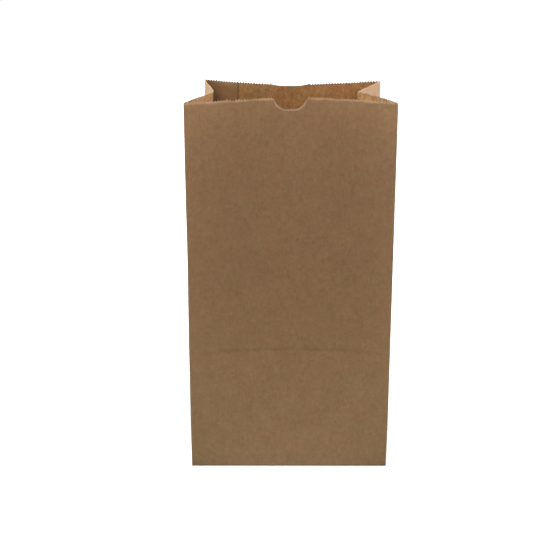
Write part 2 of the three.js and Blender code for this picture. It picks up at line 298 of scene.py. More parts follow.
def corner_folds(size, z):
    """The corner folds at a height: each a straight line from a base corner to a mouth corner.

    The back mouth corners lie as far behind the front ones as the gussets leave room for. The
    left front fold also draws in by a bell around its waist.
    """
    w, d = size.panel_width / 2, size.gusset_width / 2
    sides = np.array([-1, 1])
    front = size.front_shift + sides * (w - size.front_loss / 2)
    back = size.back_shift + sides * (w - size.back_loss / 2)
    depth = size.gusset_width - np.array([size.left_loss, size.right_loss])
    reach = np.sqrt(depth**2 - (back - front) ** 2)
    mouth = np.stack([[*front, *back[::-1]], [0, 0, *reach[::-1]]], axis=-1)
    mouth[:, 1] += size.lean - d
    base = np.array([(-w, -d), (w, -d), (w, d), (-w, d)])
    share = rise(size, z)[..., None, None]
    out = base + share * (mouth - base)
    drawn_in = bell(z - WAIST_HEIGHT * size.height, WAIST_REACH * size.height)
    out[..., FRONT_LEFT, 0] += size.waist * drawn_in
    return out


def beside_line(a, b, share, distance):
    """The point at a share of the way from a to b, moved by a distance to the left of it."""
    way = b - a
    along = way / np.linalg.norm(way, axis=-1, keepdims=True)
    left = np.stack([-along[..., 1], along[..., 0]], axis=-1)
    return a + way * share[..., None] + left * distance[..., None]


def bow_at(size, z, crease, bow_crease, bow_mouth, power):
    """Inward bow: bow_crease * share**power up to the crease, then straight to the mouth."""
    floor = floor_height(size)
    below = np.clip((z - floor) / (crease - floor), 0, 1) ** power * bow_crease
    above = bow_crease + (bow_mouth - bow_crease) * (z - crease) / (size.height - crease)
    return np.where(z < crease, below, above)


def panel_points(size, left, right, share, z, bow, mouth_powers):
    """A panel bowed by bow * (1 - |x|**power), x running from -1 to 1 across it.

    From the crease up, the power goes straight from its value there to that at the mouth.
    """
    x = 2 * share - 1
    _, crease = crease_heights(size)
    up = np.clip((z - crease) / (size.height - crease), 0, 1)
    at_left, at_right = (low + (high - low) * up for low, high in zip(CREASE_POWERS, mouth_powers))
    power = np.where(x < 0, at_left, at_right)
    return beside_line(left, right, share, bow * (1 - np.abs(x) ** power))


def gusset_points(size, start, end, place, z, bulge_start, bulge_end):
    """A gusset: a V above the apex, and below it two slanted folds with a leaning triangle.

    The paper keeps its length, so a slanted part of length q whose corners have closed by
    2c lies sqrt(q**2 - (q - c)**2) deep. Beside a corner it swells by
    27/4 * bulge * x * (1 - x)**2, whose highest value is the bulge, times the square of the
    rise, x running from the corner to the fold.
    """
    width = np.linalg.norm(end - start, axis=-1)
    slant = np.clip(z - floor_height(size), 1e-9, size.gusset_width / 2)
    closed = np.maximum(0, (size.gusset_width - width) / 2)
    depth = np.sqrt(np.maximum(0, slant**2 - (slant - closed) ** 2))
    share = (slant - closed) / width
    fold_a = beside_line(start, end, share, depth)
    fold_b = beside_line(start, end, 1 - share, depth)

    def swell(bulge, x):
        return -27 / 4 * bulge * rise(size, z) ** 2 * x * (1 - x) ** 2

    near = np.clip(place / slant, 0, 1)
    far = np.clip((size.gusset_width - place) / slant, 0, 1)
    first = beside_line(start, fold_a, near, swell(bulge_start, near))
    last = beside_line(fold_b, end, 1 - far, swell(bulge_end, far))
    middle_share = (place - slant) / np.maximum(size.gusset_width - 2 * slant, 1e-9)
    middle = fold_a + (fold_b - fold_a) * np.clip(middle_share, 0, 1)[..., None]
    out = np.where((place <= slant)[..., None], first, middle)
    past = (place >= size.gusset_width - slant) & (place > slant)
    return np.where(past[..., None], last, out)


def sharp_points(size, s, z):
    """The sheet with sharp corners: panels and gussets in turn, chosen by the position s."""
    places, total = corner_places(size)
    s = np.mod(s, total)
    fold = np.moveaxis(corner_folds(size, z), -2, 0)
    apex, crease = crease_heights(size)

    def panel(start, end, bow, powers):
        share = np.clip((s - places[start]) / size.panel_width, 0, 1)
        return panel_points(size, fold[start], fold[end], share, z, bow, powers)

    def gusset(start, end, *bulges):
        place = np.clip(s - places[start], 0, size.gusset_width)
        return gusset_points(size, fold[start], fold[end], place, z, *bulges)

    front_bow = bow_at(size, z, crease, size.front_bow_crease, size.front_bow_mouth, FRONT_GROWTH)
    back_bow = bow_at(size, z, apex, size.back_bow_crease, size.back_bow_mouth, BACK_GROWTH)
    out = panel(FRONT_LEFT, FRONT_RIGHT, front_bow, FRONT_POWERS)
    later = (
        gusset(FRONT_RIGHT, BACK_RIGHT, size.right_bulge, 0),
        panel(BACK_RIGHT, BACK_LEFT, back_bow, BACK_POWERS),
        gusset(BACK_LEFT, FRONT_LEFT, 0, size.left_bulge),
    )
    for place, points in zip(places[1:], later):
        out = np.where((s >= place)[..., None], points, out)
    return out


def sheet_points(size, s, z):
    """The sheet with soft corners, each a parabola from one reach before its fold to one after.

    With t from 0 to 1 over the two reaches, it is (1-t)**2, 2t(1-t) and t**2 of the sharp
    sheet's points before, at and after the fold.
    """
    out = sharp_points(size, s, z)
    places, total = corner_places(size)
    reach = np.minimum(size.corner_radius, 0.3 * np.maximum(0, z - floor_height(size)))
    for corner in (*places, total):
        near = np.abs(s - corner) < reach
        t = ((s - corner + reach) / np.maximum(2 * reach, 1e-9))[..., None]
        before = sharp_points(size, corner - reach, z)
        at = sharp_points(size, np.full_like(z, corner), z)
        after = sharp_points(size, corner + reach, z)
        soft = (1 - t) ** 2 * before + 2 * t * (1 - t) * at + t**2 * after
        out = np.where(near[..., None], soft, out)
    return out


def fold_distance(size, s):
    """Distance along the sheet to the nearest corner fold or gusset centre fold."""
    places, total = corner_places(size)
    middles = places[[FRONT_RIGHT, BACK_LEFT]] + size.gusset_width / 2
    lines = np.concatenate([places, middles, [total]])
    return np.min(np.abs(s[..., None] - lines), axis=-1)


def soft_waves(size, s, z):
    """Unevenness of the sheet: a sum of slanted sine waves, none at the folds and the base.

    It grows as 3h**2 - 2h**3 over 12 mm from a fold and evenly over 30 mm from the ground.
    """
    rng = np.random.default_rng(SEED)
    _, total = corner_places(size)
    out = np.zeros_like(z)
    for _ in range(WAVES):
        around = rng.integers(*WAVES_AROUND)
        up = rng.uniform(-WAVES_UP, WAVES_UP)
        phase = rng.uniform(0, 2 * math.pi)
        out += np.sin(2 * math.pi * (around * s / total + up * z) + phase) / math.sqrt(WAVES)
    hold = np.clip(fold_distance(size, s) / (12 * MM), 0, 1)
    lift = np.clip(z / (30 * MM), 0, 1)
    return size.wave * out * hold * hold * (3 - 2 * hold) * lift


def tooth_counts(size):
    """Teeth along the front, the right gusset, the back and the left gusset, all even numbers."""
    places, total = corner_places(size)
    pitches = np.array([size.tooth_pitch, size.tooth_pitch, size.back_pitch, size.tooth_pitch])
    return 2 * np.round(np.diff([*places, total]) / pitches / 2).astype(int)


def sheet_columns(size):
    """Positions of the columns: two to a tooth, with more at the corners, lap and notch."""
    places, total = corner_places(size)
    widths = np.diff([*places, total])
    counts = 2 * tooth_counts(size)
    runs = [start + width * np.arange(n) / n for start, width, n in zip(places, widths, counts)]
    beside = size.corner_radius * np.array([-0.75, -0.4, -0.2, 0.2, 0.4, 0.75])
    corners = np.mod(places[:, None] + beside, total).ravel()
    notch = size.panel_width / 2 + size.notch_width / 2 * np.array([-1, 1])
    lap = places[BACK_LEFT] - np.array([size.lap_inner, size.lap_outer])
    by_lap = (lap[:, None] + MM * np.array([-0.6, -0.3, 0, 0.3, 0.6])).ravel()
    return np.unique(np.round(np.concatenate([*runs, corners, notch, by_lap]), 7))


def tooth_drop(size, s):
    """Depth of the serrated cut: a zigzag whose teeth differ a little in height.

    A tooth drops by its depth times 1 - u * (1 - zigzag), u being its own unevenness. The
    front's cut rises as a square root from both corners and falls by a bell at each nick. The
    teeth are flatter on the left gusset's front half, where the cut slants down as well.
    """
    places, total = corner_places(size)
    rng = np.random.default_rng(SEED + 1)
    side = np.clip(np.searchsorted(places, s, side="right") - 1, 0, 3)
    widths = np.diff([*places, total])
    phase = (s - places[side]) / widths[side] * tooth_counts(size)[side]
    zigzag = np.abs(1 - 2 * np.mod(phase, 1.0))
    uneven = rng.uniform(0.55, 1.1, 1000)[(np.floor(phase) + side * 200).astype(int)]
    uneven = np.where(side == BACK_RIGHT, 0.5 + 0.5 * uneven, uneven)
    deep = np.where(side == FRONT_LEFT, size.front_tooth, size.tooth_height)
    last_half = s > places[BACK_LEFT] + size.gusset_width / 2
    deep = np.where(last_half, 0.3 * size.tooth_height, deep)
    drop = deep * (1 - uneven * (1 - zigzag))
    slanted = size.left_slant * np.clip((total - s) / size.slant_reach, 0, 1)
    drop += np.where(last_half, slanted, 0)
    inward = np.clip(np.minimum(s, size.panel_width - s) / size.rise_reach, 0, 1)
    drop = drop - np.where(side == FRONT_LEFT, size.front_rise * np.sqrt(inward), 0)
    for place, depth, reach in RIM_NICKS:
        drop = drop + depth * MM * bell(s / MM - place, reach)
    return drop


def rounded_cut(x, width, depth):
    """Depth of a cut with a round bottom: depth * (1 - |2 x / width|**power)."""
    return depth * (1 - np.minimum(1, np.abs(2 * x / width)) ** CUT_POWER)


def rim_drop(size, s):
    """How far the mouth's cut edge lies below the bag's full height."""
    places, _ = corner_places(size)
    front_x = s - size.panel_width / 2
    back_x = s - places[BACK_RIGHT] - size.panel_width / 2 - size.dip_shift
    notch = rounded_cut(front_x, size.notch_width, size.notch_depth)
    dip = rounded_cut(back_x, size.dip_width, size.dip_depth)
    in_notch = np.abs(front_x) <= size.notch_width / 2 + 1e-7
    drop = np.where(in_notch, notch + CUT_DROP, tooth_drop(size, s))
    return np.where(np.abs(back_x) <= size.dip_width / 2, dip + CUT_DROP, drop)


def row_heights(size):
    """Heights of the rows below the mouth: square cells up to the apex, then taller ones.

    Narrower rows follow the fold around the base and the pressed line.
    """
    floor = floor_height(size)
    apex, crease = crease_heights(size)
    band = size.height - size.notch_depth - 4 * MM
    cells = tooth_counts(size)[FRONT_RIGHT]
    fold = size.fold_radius * np.array([0, 0.08, 0.25])
    above_fold = size.fold_radius * np.array([0.75, 1.0])
    low = np.linspace(floor, apex, cells + 1)
    beside = np.array([0.4, 0.9, 1.5, 2.2, 3.2])
    imprint = crease + MM * np.concatenate([-beside[::-1], [0], beside, [5]])

    def tall_rows(start, end, reach):
        return np.linspace(start, end, int(reach / size.row_pitch) + 1)[1:]

    middle = tall_rows(apex, crease - 5 * MM, crease - apex)
    high = tall_rows(crease + 5 * MM, band, band - crease)
    return np.concatenate([fold, low[:1], above_fold, low[1:], middle, imprint, high])


def sheet_grid(size):
    """The grid of the sheet: positions (columns) and heights (rows by columns)."""
    s = sheet_columns(size)
    rows = row_heights(size)
    top = size.height - rim_drop(size, s)
    share = np.array([0.3, 0.6, 0.85, 0.95, 1.0])[:, None]
    band = rows[-1] + (top - rows[-1]) * share
    z = np.vstack([np.repeat(rows[:, None], len(s), axis=1), band])
    return s, z


def outward_mitre(flat):
    """Outward direction at each column, long enough to keep the wall's thickness at bends.

    It is the sum of the two outward directions that meet, over 1 plus their dot product.
    """
    step = np.roll(flat, -1, axis=1) - flat
    step /= np.maximum(np.linalg.norm(step, axis=-1, keepdims=True), 1e-12)
    after = np.stack([step[..., 1], -step[..., 0]], axis=-1)
    before = np.roll(after, 1, axis=1)
    dot = np.sum(before * after, axis=-1, keepdims=True)
    return (before + after) / (1 + dot)


def lap_offsets(size, s, z, past_edge):
    """Outer and inner face beside the sheet's line. Two layers lie in the lap, outer face out."""
    places, _ = corner_places(size)
    from_left = places[BACK_LEFT] - s + np.where(past_edge, -1e-7, 1e-7)
    behind = (s >= places[BACK_RIGHT]) & (from_left >= size.lap_outer)
    in_lap = from_left < size.lap_inner
    ease = (s - places[BACK_RIGHT]) / (size.panel_width - size.lap_inner)
    t = size.paper
    outer = np.where(behind, np.where(in_lap, t, t * ease), 0.0)
    inner = np.where(behind & ~in_lap, t * (ease - 1), -t)
    above = z > floor_height(size)
    return np.where(above, outer, 0.0), np.where(above, inner, -t)


def grid_faces(index, closed, flip=None):
    """Quads of a grid of vertex numbers, counter-clockwise seen from its outer side."""
    if closed:
        index = np.concatenate([index, index[:, :1]], axis=1)
    a, b = index[:-1, :-1], index[:-1, 1:]
    c, d = index[1:, 1:], index[1:, :-1]
    quads = np.stack([a, b, c, d], axis=-1)
    if flip is not None:
        quads[:, flip] = np.roll(quads[:, flip], -1, axis=-1)
    return quads.reshape(-1, 4)


def make_object(name, vertices, parts, uv, around, values, materials):
    """A mesh object from vertex and face arrays.

    parts is a list of (faces, material number); uv has one place per vertex and runs on past
    the length around where the sheet closes; values are point attributes by name.
    """
    mesh = bpy.data.meshes.new(name)
    corners = np.concatenate([f.ravel() for f, _ in parts])
    sizes = np.concatenate([np.full(len(f), f.shape[1]) for f, _ in parts])
    kinds = np.concatenate([np.full(len(f), kind) for f, kind in parts])
    starts = np.concatenate([[0], np.cumsum(sizes)[:-1]])
    mesh.vertices.add(len(vertices))
    mesh.vertices.foreach_set("co", vertices.astype(np.float32).ravel())
    mesh.loops.add(len(corners))
    mesh.loops.foreach_set("vertex_index", corners.astype(np.int32))
    mesh.polygons.add(len(sizes))
    mesh.polygons.foreach_set("loop_start", starts.astype(np.int32))
    mesh.polygons.foreach_set("material_index", kinds.astype(np.int32))
    mesh.update(calc_edges=True)
    places = uv[corners]
    face_of = np.repeat(np.arange(len(sizes)), sizes)
    widest = np.maximum.reduceat(places[:, 0], starts)[face_of]
    places[widest - places[:, 0] > around / 2, 0] += around
    layer = mesh.uv_layers.new(name="sheet")
    layer.data.foreach_set("uv", places.astype(np.float32).ravel())
    for key, value in values.items():
        attribute = mesh.attributes.new(key, "FLOAT", "POINT")
        attribute.data.foreach_set("value", value.astype(np.float32).ravel())
    for material in materials:
        mesh.materials.append(material)
    mesh.shade_smooth()
    mesh.set_sharp_from_angle(angle=math.radians(38))
    mesh.validate()
    return add_object(name, mesh)


def add_object(name, data, place=(0, 0, 0), turn=(0, 0, 0)):
    """An object for a mesh, a lamp or a camera, linked to the scene."""
    made = bpy.data.objects.new(name, data)
    made.location = place
    made.rotation_euler = turn
    bpy.context.scene.collection.objects.link(made)
    return made


def gusset_sides(size, s):
    """Whether a position lies on the right and on the left gusset."""
    places, _ = corner_places(size)
    return (s > places[FRONT_RIGHT]) & (s < places[BACK_RIGHT]), s > places[BACK_LEFT]


def fold_mask(size, s, z):
    """Strength of the pressed folds: corners, gusset folds and the crease behind the base."""
    places, _ = corner_places(size)
    up = z - floor_height(size)
    half = size.gusset_width / 2
    in_right, in_left = gusset_sides(size, s)
    in_gusset = in_right | in_left
    place = np.where(in_right, s - places[FRONT_RIGHT], s - places[BACK_LEFT])
    side = np.minimum(place, size.gusset_width - place)
    middle = (np.abs(place - half) < 4 * MM) & (up < half - 2 * MM)
    upright = bell(fold_distance(size, s), FOLD_MARK)
    mask = np.where(in_gusset & middle, bell(half - up, APEX_MARK), upright)
    slanted = bell((side - up) / math.sqrt(2), FOLD_MARK) * (up < half + MM)
    mask = np.maximum(mask, np.where(in_gusset, slanted, 0))
    behind = (s > places[FRONT_RIGHT] + half) & (s < places[BACK_LEFT] + half)
    return np.maximum(mask, np.where(behind, bell(up - half, FOLD_MARK), 0))


def imprint_mask(size, s, z):
    """Strength of the line pressed across front and back by the folded base.

    It fades over a fifth of the width at its start and to about half at its end, and two sine
    waves make it uneven.
    """
    places, _ = corner_places(size)
    start = np.where(s <= places[FRONT_RIGHT], 0, places[BACK_RIGHT])
    share = (s - start) / size.panel_width
    on_panel = (share >= 0) & (share <= 1)
    ends = np.clip(share / 0.2, 0, 1) * (0.55 + 0.45 * np.clip((1 - share) / 0.16, 0, 1))
    line = bell(z - floor_height(size) - size.gusset_width, PRESSED_MARK)
    broken = 0.78 + 0.14 * np.sin(31 * share + 1) + 0.08 * np.sin(83 * share)
    return np.where(on_panel, line * broken * (0.12 + 0.88 * ends), 0)


def pocket_shade_mask(size, s, z):
    """Painted shade of the pocket between back and left gusset, and a fainter painted shade beside
    the lap.

    The first is a bell whose reach grows over the uppermost 15 mm. Its strength falls to a
    quarter from 20 to 80 mm below the mouth. The second is a bell 17 mm past the lap.
    """
    places, _ = corner_places(size)
    from_left = np.maximum(0, places[BACK_LEFT] - s)
    below = size.height - z
    reach = 2.2 * MM + 0.85 * np.clip(below, 0, 15 * MM)
    fade = 1 - 0.75 * np.clip((below - 20 * MM) / (60 * MM), 0, 1)
    # A fainter painted shade on the back's inner face beside the lap
    shade_beside_lap = 0.2 * bell(from_left - size.lap_inner - 17 * MM, 17 * MM)
    on_side = (s > places[BACK_RIGHT]) & (s < places[BACK_LEFT] + size.gusset_width / 2)
    return np.maximum(bell(from_left, reach) * fade, shade_beside_lap) * on_side


def cut_distances(size, s, z):
    """Distance below the cut edge in millimetres, for the outer and for the inner face.

    It is measured square to the notch's slope. Outside it counts double on the gussets, where
    the pale band is narrower. Inside, the band of painted shade lies deeper under the dip, and
    there is none by the left front fold.
    """
    drop = rim_drop(size, s[0])
    teeth = drop < 1.2 * size.front_tooth
    slope = np.gradient(np.where(teeth, 0, drop), s[0])
    level = np.where(teeth, size.height - size.tooth_height / 2, size.height - drop)
    below = np.maximum(0, level - z) / np.sqrt(1 + slope**2) / MM
    in_right, in_left = gusset_sides(size, s)
    places, _ = corner_places(size)
    back_x = s - places[BACK_RIGHT] - size.panel_width / 2
    # The band of painted shade reaches deeper under the dip
    dip_shade_depth = rounded_cut(back_x, 10 * MM, 1.1)
    bare = s > places[BACK_LEFT] + size.gusset_width / 2
    inner = np.where(bare, 9.0, np.maximum(0, below - dip_shade_depth))
    return below * np.where(in_right | in_left, 2.0, 1.0), inner


def split_columns(s, edge):
    """The columns with the one at a lap's edge taken twice, and which of them lie past it."""
    at = int(np.argmin(np.abs(s - edge)))
    columns = np.insert(np.arange(len(s)), at + 1, at)
    return at, columns, np.arange(len(columns)) > at


def build_walls(size, materials):
    """Panels, gussets and lap: the sheet's outer and inner face with the cut edge between.

    At the ground both faces draw in along a quarter circle, the fold around the base. Each
    face takes the column at its own edge of the lap twice, so that the edge is a step.
    """
    s, z = sheet_grid(size)
    grid_s = np.broadcast_to(s, z.shape)
    flat = sheet_points(size, grid_s, z)
    out = outward_mitre(flat)
    pressed = imprint_mask(size, grid_s, z)
    flat = flat + out * (soft_waves(size, grid_s, z) - size.groove * pressed)[..., None]
    flat[..., 0] *= 1 - 2 * size.base_pull / size.panel_width * bell(z, size.pull_reach)
    places, total = corner_places(size)
    fold = size.fold_radius
    inset = np.where(z < fold, fold - np.sqrt(np.maximum(0, fold**2 - (fold - z) ** 2)), 0)
    laps = (size.lap_outer, size.lap_inner)
    edges, columns, past = zip(*(split_columns(s, places[BACK_LEFT] - lap) for lap in laps))

    def face(which):
        chosen = columns[which]
        zc = z[:, chosen]
        offset = lap_offsets(size, grid_s[:, chosen], zc, past[which])[which] - inset[:, chosen]
        xy = flat[:, chosen] + out[:, chosen] * offset[..., None]
        return np.dstack([xy, zc]).reshape(-1, 3)

    def both(*values):
        """Values of the grid at the columns of the outer face, then of the inner one."""
        return np.concatenate([v[:, chosen].ravel() for v, chosen in zip(values, columns)])

    vertices = np.concatenate([face(0), face(1)])
    index = np.arange(len(vertices)).reshape(2, len(z), -1)
    half = size.gusset_width / 2
    in_last_half = (s > places[FRONT_RIGHT] + half) & (s < places[BACK_RIGHT])
    in_last_half |= s > places[BACK_LEFT] + half
    outer_quads, inner_quads = (
        grid_faces(i, True, in_last_half[chosen]) for i, chosen in zip(index, columns)
    )

    shared = np.sort(np.concatenate([np.arange(len(s)), edges]))
    order = np.arange(len(shared))
    o, i = (order - (order > np.searchsorted(shared, edge)).astype(int) for edge in edges[::-1])

    def ring(row, turn):
        """Faces from the outer to the inner face along a row, triangles at the lap's edges."""
        a, b = index[0, row, o], index[0, row, np.roll(o, -1)]
        c, d = index[1, row, np.roll(i, -1)], index[1, row, i]
        quads = np.stack([a, b, c, d], axis=-1)[(a != b) & (c != d)]
        outer_only = np.stack([a, b, d], axis=-1)[(a != b) & (c == d)]
        inner_only = np.stack([a, c, d], axis=-1)[(a == b) & (c != d)]
        return quads[:, ::turn], np.concatenate([outer_only, inner_only])[:, ::turn]

    parts = [(outer_quads, 0), (inner_quads[:, ::-1], 1)]
    parts += [(faces, 2) for faces in ring(-1, 1)] + [(faces, 0) for faces in ring(0, -1)]
    from_left = places[BACK_LEFT] - grid_s
    in_lap = ((from_left > size.lap_outer) & (from_left < size.lap_inner)).astype(float)
    # Painted shade lines: a faint one along the pressed crease, a darker one along the fold round
    # the base, and below, the painted shadow of each lap edge's step
    imprint = np.maximum(0.2 * pressed, 0.34 * bell(z, BASE_SHADE_LINE))
    folds = fold_mask(size, grid_s, z)
    none = np.zeros_like(z)
    masks = (
        cut_distances(size, grid_s, z), (folds, folds), (none, in_lap),
        (none, pocket_shade_mask(size, grid_s, z)),
        [np.maximum(imprint, bell(from_left - lap, LAP_SHADOW_LINE)) for lap in laps],
    )
    values = {key: both(*faces) for key, faces in zip(MASKS, masks)}
    uv = np.stack([both(grid_s, grid_s), both(z, z)], axis=-1)
    return make_object("bag_walls", vertices, parts, uv, total, values, materials)


def flap_plate(corners, low, high, steps, cut_side):
    """One flap as a thin plate: four corners blended across a grid, between two heights.

    The point at (u, v) is the blend of the four corners with the weights (1-u)(1-v), u(1-v),
    uv and (1-u)v. cut_side says whether the far side, v = 1, is a cut edge.
    """
    u, v = np.meshgrid(np.linspace(0, 1, steps), np.linspace(0, 1, steps))
    a, b, c, d = corners
    weights = [(1 - u) * (1 - v), u * (1 - v), u * v, (1 - u) * v]
    flat = sum(w.reshape(-1, 1) * p for w, p in zip(weights, corners))
    uv = np.tile(flat, (2, 1))
    none = np.zeros(u.shape)
    depth = np.linalg.norm((c + d - a - b) / 2)
    top_index = np.arange(u.size).reshape(u.shape)
    ring = np.concatenate([
        top_index[0, :-1], top_index[:-1, -1], top_index[-1, :0:-1], top_index[:0:-1, 0],
    ])
    ring_next = np.roll(ring, -1)
    sides = np.stack([ring, ring + u.size, ring_next + u.size, ring_next], axis=-1)
    edge = (1 - v) * depth / MM if cut_side else none + 50
    to_side = np.minimum(u, 1 - u) * np.linalg.norm(b - a)
    # The last mask is a painted shadow line along the flap's free edge
    masks = (edge, bell(to_side, FOLD_MARK), none, none, bell(edge, 0.5))
    return {
        "vertices": np.column_stack([uv, np.repeat([high, low], u.size)]),
        "top": grid_faces(top_index, False),
        "under": grid_faces(top_index + u.size, False)[:, ::-1],
        "sides": sides,
        "uv": uv,
        **{key: np.tile(mask.ravel(), 2) for key, mask in zip(MASKS, masks)},
    }


def counter_clockwise(corners):
    """Four corners in an order that turns left, with the same first side."""
    p = np.array(corners)
    q = np.roll(p, -1, axis=0)
    area = np.sum(p[:, 0] * q[:, 1] - q[:, 0] * p[:, 1])
    return p if area > 0 else p[[1, 0, 3, 2]]


def build_base(size, materials):
    """The base folded like a parcel: back flap, front flap, four tucks and two end flaps."""
    inset = size.fold_radius + 0.4 * size.paper
    x = size.panel_width / 2 - size.base_pull - inset
    y = size.gusset_width / 2 - inset
    flap = min((size.gusset_width + size.flap_overlap) / 2, x)
    tip = x - flap + size.mitre_ease
    t = size.paper
    plates = []

    def add(corners, low, high, steps, cut_side):
        plates.append(flap_plate(counter_clockwise(corners), low, high, steps, cut_side))

    for side, low in ((1, 0), (-1, t)):
        inner = side * (y - flap)
        add([(-side * x, side * y), (side * x, side * y), (side * tip, inner),
             (-side * tip, inner)], low, low + t, 26, True)
    for end in (-1, 1):
        outer, inner = end * x, end * (x - flap)
        for side, low in ((1, t), (-1, 2 * t)):
            add([(outer, side * y), (inner, side * y), (inner, side * (y - flap)),
                 (outer, side * (y - size.mitre_ease))], low, 3 * t, 4, False)
        add([(outer, -end * y), (outer, end * y), (inner, end * y), (inner, -end * y)],
            3 * t, 4 * t, 20, True)
    counts = np.cumsum([0] + [len(p["vertices"]) for p in plates])

    def joined(key, added=np.zeros(len(plates), int)):
        return np.concatenate([p[key] + n for p, n in zip(plates, added)])

    parts = [(joined("top", counts), 1), (joined("under", counts), 0), (joined("sides", counts), 2)]
    values = {key: joined(key) for key in MASKS}
    return make_object("bag_base", joined("vertices"), parts, joined("uv"), 1.0, values, materials)


class Nodes:
    """Adds nodes to a tree, laid out in rows in the order in which they are made."""

    def __init__(self, tree):
        self.tree = tree

    def add(self, kind, values=(), **settings):
        """A node of a kind with its settings and its inputs: sockets, numbers or colours."""
        made = self.tree.nodes.new(kind)
        row, column = divmod(len(self.tree.nodes), 8)
        made.location = (200 * column - 1800, -300 * row)
        for key, value in settings.items():
            setattr(made, key, value)
        for key, value in dict(values).items():
            self.feed(made.inputs[key], value)
        return made

    def feed(self, socket, value):
        """Links an input to an output, or gives it a number or a colour."""
        if isinstance(value, bpy.types.NodeSocket):
            self.tree.links.new(value, socket)
        else:
            socket.default_value = (*value, 1) if socket.type == "RGBA" else value

    def math(self, operation, *values, clamp=False):
        """A Math node of sockets and numbers."""
        made = self.add("ShaderNodeMath", enumerate(values), operation=operation, use_clamp=clamp)
        return made.outputs[0]

    def mix(self, share, first, second, blend="MIX"):
        """A mix of two colours, each a socket or a colour."""
        inputs = {0: share, 6: first, 7: second}
        made = self.add("ShaderNodeMix", inputs, data_type="RGBA", blend_type=blend)
        return made.outputs[2]

    def noise(self, place, scale, detail, roughness, distortion):
        """Noise at places stretched by a scale."""
        stretch = self.add("ShaderNodeVectorMath", {0: place, 1: scale}, operation="MULTIPLY")
        made = self.add("ShaderNodeTexNoise", {
            "Vector": stretch.outputs[0], "Scale": 1, "Detail": detail, "Roughness": roughness,
            "Distortion": distortion,
        })
        return made.outputs["Fac"]


def fibre_group():
    """Node group: mottling, curled fibres, upright streaks and specks of kraft paper.

    Shade is 1 plus the mottling and the streaks, less the specks. The mottling is grain, cloud
    and fibres, a fibre being where the curled noise is close to its middle. Tint is 0 in an
    olive spot and 1 in a reddish one, and Height is the relief.
    """
    tree = bpy.data.node_groups.new("kraft_fibres", "ShaderNodeTree")
    tree.interface.new_socket("Sheet", in_out="INPUT", socket_type="NodeSocketVector")
    for name in ("Mottle", "Streaks", "Specks"):
        tree.interface.new_socket(name, in_out="INPUT", socket_type="NodeSocketFloat")
    for name in ("Shade", "Tint", "Height"):
        tree.interface.new_socket(name, in_out="OUTPUT", socket_type="NodeSocketFloat")
    nodes = Nodes(tree)
    given = nodes.add("NodeGroupInput").outputs
    grain, cloud, curl, streak, speck, hue = (nodes.noise(given["Sheet"], *n) for n in NOISES)
    thread = nodes.math("ABSOLUTE", nodes.math("SUBTRACT", curl, 0.5))
    thread = nodes.math("MULTIPLY_ADD", thread, -9.0, 1.0, clamp=True)
    uneven = nodes.math("SUBTRACT", nodes.math("MULTIPLY_ADD", cloud, 0.35, grain), 0.675)
    uneven = nodes.math("MULTIPLY_ADD", thread, 0.1, uneven)
    mottled = nodes.math("MULTIPLY_ADD", uneven, given["Mottle"], 1.0)
    centred = nodes.math("SUBTRACT", streak, 0.5)
    streaked = nodes.math("MULTIPLY_ADD", centred, given["Streaks"], mottled)
    dots = nodes.math("MULTIPLY", nodes.math("SUBTRACT", speck, 0.755), 14.0, clamp=True)
    dark = nodes.math("MULTIPLY", dots, given["Specks"])
    nodes.add("NodeGroupOutput", {
        "Shade": nodes.math("SUBTRACT", streaked, dark),
        "Tint": nodes.math("MULTIPLY_ADD", hue, 3.0, -1.0, clamp=True),
        "Height": nodes.math("MULTIPLY_ADD", thread, 0.3, grain),
    })
    return tree


def painted_height_shading(nodes, uv, height):
    """Painted light and shade of the outer face at its height, as a share of the bag's."""
    up = nodes.add("ShaderNodeSeparateXYZ", {0: uv}).outputs["Y"]
    made = nodes.add("ShaderNodeValToRGB", {0: nodes.math("DIVIDE", up, height, clamp=True)})
    stops = made.color_ramp.elements
    for share, _ in HEIGHT_SHADING[1:-1]:
        stops.new(share)
    for stop, (_, tone) in zip(stops, HEIGHT_SHADING):
        stop.color = (*tone, 1)
    return made.outputs[0]


def new_material(name, roughness, gloss):
    """A material with its nodes and its shader."""
    material = bpy.data.materials.new(name)
    material.use_nodes = True
    shader = material.node_tree.nodes["Principled BSDF"]
    shader.inputs["Roughness"].default_value = roughness
    shader.inputs["Specular IOR Level"].default_value = gloss
    return material, Nodes(material.node_tree), shader


